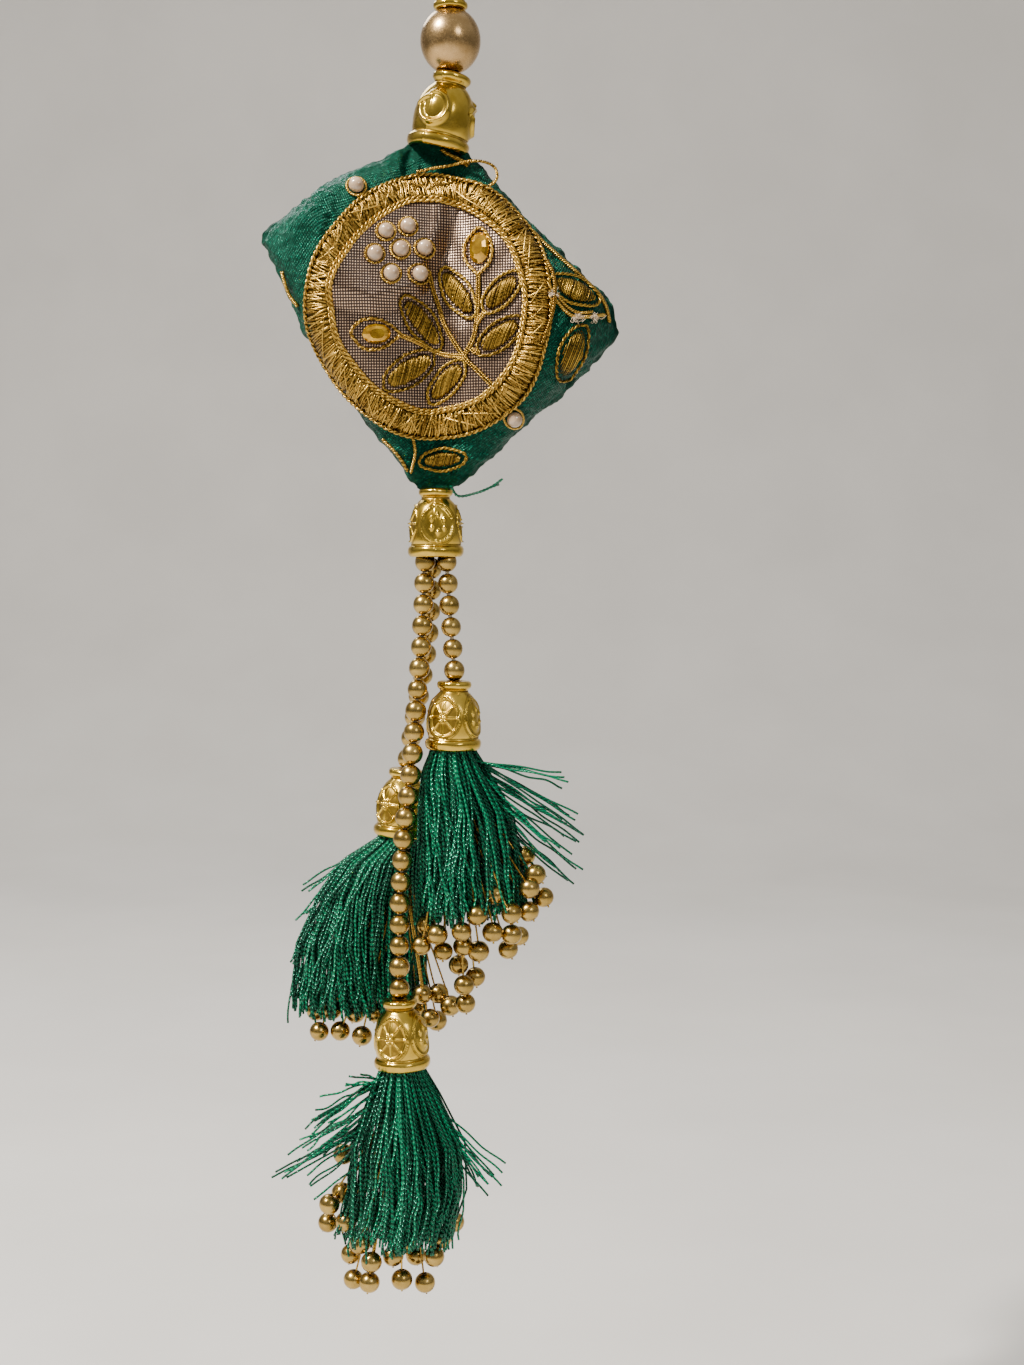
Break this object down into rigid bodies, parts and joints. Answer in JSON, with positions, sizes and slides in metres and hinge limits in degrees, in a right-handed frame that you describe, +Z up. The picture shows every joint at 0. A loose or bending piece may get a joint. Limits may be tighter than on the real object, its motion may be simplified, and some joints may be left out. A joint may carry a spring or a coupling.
{
  "type": "hanging tassel ornament",
  "caption": "Hanging tassel ornament: cord loop, bell caps and large bead over a stuffed embroidered cushion, with beaded strands ending in thread tassels.",
  "frame": {"origin": "the point inside the top of the cord loop where it bears on its hook", "axes": "+Z up along the hanging length, +X to the right seen from the embroidered front, +Y from the front to the back"},
  "size_m": [0.07, 0.0325, 0.2968],
  "materials": {
    "silk_cord": "twisted silk cord",
    "antique_gold": "polished antique gold with brown tarnish in the recesses",
    "champagne_gold": "satin champagne gold plating",
    "bead_gold": "bright brownish gold plating, scuffed at the bores",
    "string": "waxed beading string",
    "green_silk": "woven art silk with a fine rib and soft sheen",
    "stuffing": "loose polyester fibre",
    "zari": "metallic gold embroidery thread in satin stitch",
    "metallic_tissue": "metallic tissue with an open weave",
    "green_thread": "glossy rayon thread",
    "pearl": "pearl lustre",
    "amber_crystal": "faceted amber glass with a gold foil back"
  },
  "bodies": {
    "root": {"hanging_loop": "silk_cord", "top_bell_cap": "antique_gold"},
    "large_bead": {"large_bead": "champagne_gold", "large_bead_string": "string"},
    "upper_cap": {"upper_bell_cap": "antique_gold"},
    "cushion": {"cushion_front_cover": "green_silk", "cushion_back_cover": "green_silk", "cushion_filling": "stuffing", "medallion": "zari"},
    "lower_cap": {"lower_bell_cap": "antique_gold"},
    "strand_1_upper": {"strand_1_string_1": "string", "strand_1_bead_01": "bead_gold", "strand_1_bead_02": "bead_gold", "strand_1_bead_03": "bead_gold", "strand_1_bead_04": "bead_gold", "strand_1_bead_05": "bead_gold", "strand_1_bead_06": "bead_gold", "strand_1_bead_07": "bead_gold", "strand_1_bead_08": "bead_gold", "strand_1_bead_09": "bead_gold", "strand_1_bead_10": "bead_gold"},
    "strand_1_lower": {"strand_1_string_2": "string", "strand_1_bead_11": "bead_gold", "strand_1_bead_12": "bead_gold", "strand_1_bead_13": "bead_gold", "strand_1_bead_14": "bead_gold", "strand_1_bead_15": "bead_gold", "strand_1_bead_16": "bead_gold", "strand_1_bead_17": "bead_gold", "strand_1_bead_18": "bead_gold", "strand_1_bead_19": "bead_gold", "strand_1_bead_20": "bead_gold", "strand_1_bead_21": "bead_gold"},
    "tassel_1_cap": {"tassel_1_bell_cap": "antique_gold"},
    "tassel_1_skirt": {"tassel_1_thread_skirt": "green_thread", "tassel_1_bead_bunch": "bead_gold"},
    "strand_2": {"strand_2_string": "string", "strand_2_bead_01": "bead_gold", "strand_2_bead_02": "bead_gold", "strand_2_bead_03": "bead_gold", "strand_2_bead_04": "bead_gold", "strand_2_bead_05": "bead_gold", "strand_2_bead_06": "bead_gold"},
    "tassel_2_cap": {"tassel_2_bell_cap": "antique_gold"},
    "tassel_2_skirt": {"tassel_2_thread_skirt": "green_thread", "tassel_2_bead_bunch": "bead_gold"},
    "strand_3": {"strand_3_string": "string", "strand_3_bead_01": "bead_gold", "strand_3_bead_02": "bead_gold", "strand_3_bead_03": "bead_gold", "strand_3_bead_04": "bead_gold", "strand_3_bead_05": "bead_gold", "strand_3_bead_06": "bead_gold", "strand_3_bead_07": "bead_gold", "strand_3_bead_08": "bead_gold", "strand_3_bead_09": "bead_gold", "strand_3_bead_10": "bead_gold"},
    "tassel_3_cap": {"tassel_3_bell_cap": "antique_gold"},
    "tassel_3_skirt": {"tassel_3_thread_skirt": "green_thread", "tassel_3_bead_bunch": "bead_gold"}
  },
  "joints": [
    {"name": "side_swing", "type": "hinge", "parent": "root", "child": "large_bead", "pos_m": [0, 0, -0.0408], "axis": [0, 1, 0], "range_deg": [-40, 40]},
    {"name": "front_swing", "type": "hinge", "parent": "large_bead", "child": "upper_cap", "pos_m": [0, 0, -0.0408], "axis": [1, 0, 0], "range_deg": [-40, 40]},
    {"name": "cushion_twist", "type": "hinge", "parent": "upper_cap", "child": "cushion", "pos_m": [-0.00219, 0, -0.0614], "axis": [0, 0, 1], "range_deg": [-40, 40]},
    {"name": "lower_cap_swing", "type": "hinge", "parent": "cushion", "child": "lower_cap", "pos_m": [-0.0031, 0, -0.1313], "axis": [1, 0, 0], "range_deg": [-20, 20]},
    {"name": "strand_1_swing", "type": "hinge", "parent": "lower_cap", "child": "strand_1_upper", "pos_m": [-0.0052, -0.0016, -0.1466], "axis": [1, 0, 0], "range_deg": [-25, 0]},
    {"name": "strand_1_bend", "type": "hinge", "parent": "strand_1_upper", "child": "strand_1_lower", "pos_m": [-0.008, -0.0058, -0.1895], "axis": [0, 1, 0], "range_deg": [0, 25]},
    {"name": "tassel_1_cap_swing", "type": "hinge", "parent": "strand_1_lower", "child": "tassel_1_cap", "pos_m": [-0.0103, -0.007, -0.2339], "axis": [1, 0, 0], "range_deg": [-25, 15]},
    {"name": "tassel_1_skirt_sway", "type": "hinge", "parent": "tassel_1_cap", "child": "tassel_1_skirt", "pos_m": [-0.00974, -0.007, -0.24809], "axis": [0, 1, 0], "range_deg": [-8, 8]},
    {"name": "strand_2_swing", "type": "hinge", "parent": "lower_cap", "child": "strand_2", "pos_m": [-0.0008, -0.0016, -0.1466], "axis": [0, 1, 0], "range_deg": [-30, 0]},
    {"name": "tassel_2_cap_swing", "type": "hinge", "parent": "strand_2", "child": "tassel_2_cap", "pos_m": [0.0007, -0.002, -0.1701], "axis": [1, 0, 0], "range_deg": [-20, 0]},
    {"name": "tassel_2_skirt_sway", "type": "hinge", "parent": "tassel_2_cap", "child": "tassel_2_skirt", "pos_m": [0.00042, -0.002, -0.1843], "axis": [0, 1, 0], "range_deg": [-8, 0]},
    {"name": "strand_3_swing", "type": "hinge", "parent": "lower_cap", "child": "strand_3", "pos_m": [-0.0041, 0.0027, -0.148], "axis": [1, 0, 0], "range_deg": [0, 20]},
    {"name": "tassel_3_cap_swing", "type": "hinge", "parent": "strand_3", "child": "tassel_3_cap", "pos_m": [-0.00935, 0.00485, -0.1888], "axis": [0, 1, 0], "range_deg": [0, 20]},
    {"name": "tassel_3_skirt_sway", "type": "hinge", "parent": "tassel_3_cap", "child": "tassel_3_skirt", "pos_m": [-0.01052, 0.0049, -0.20295], "axis": [1, 0, 0], "range_deg": [0, 7]}
  ]
}
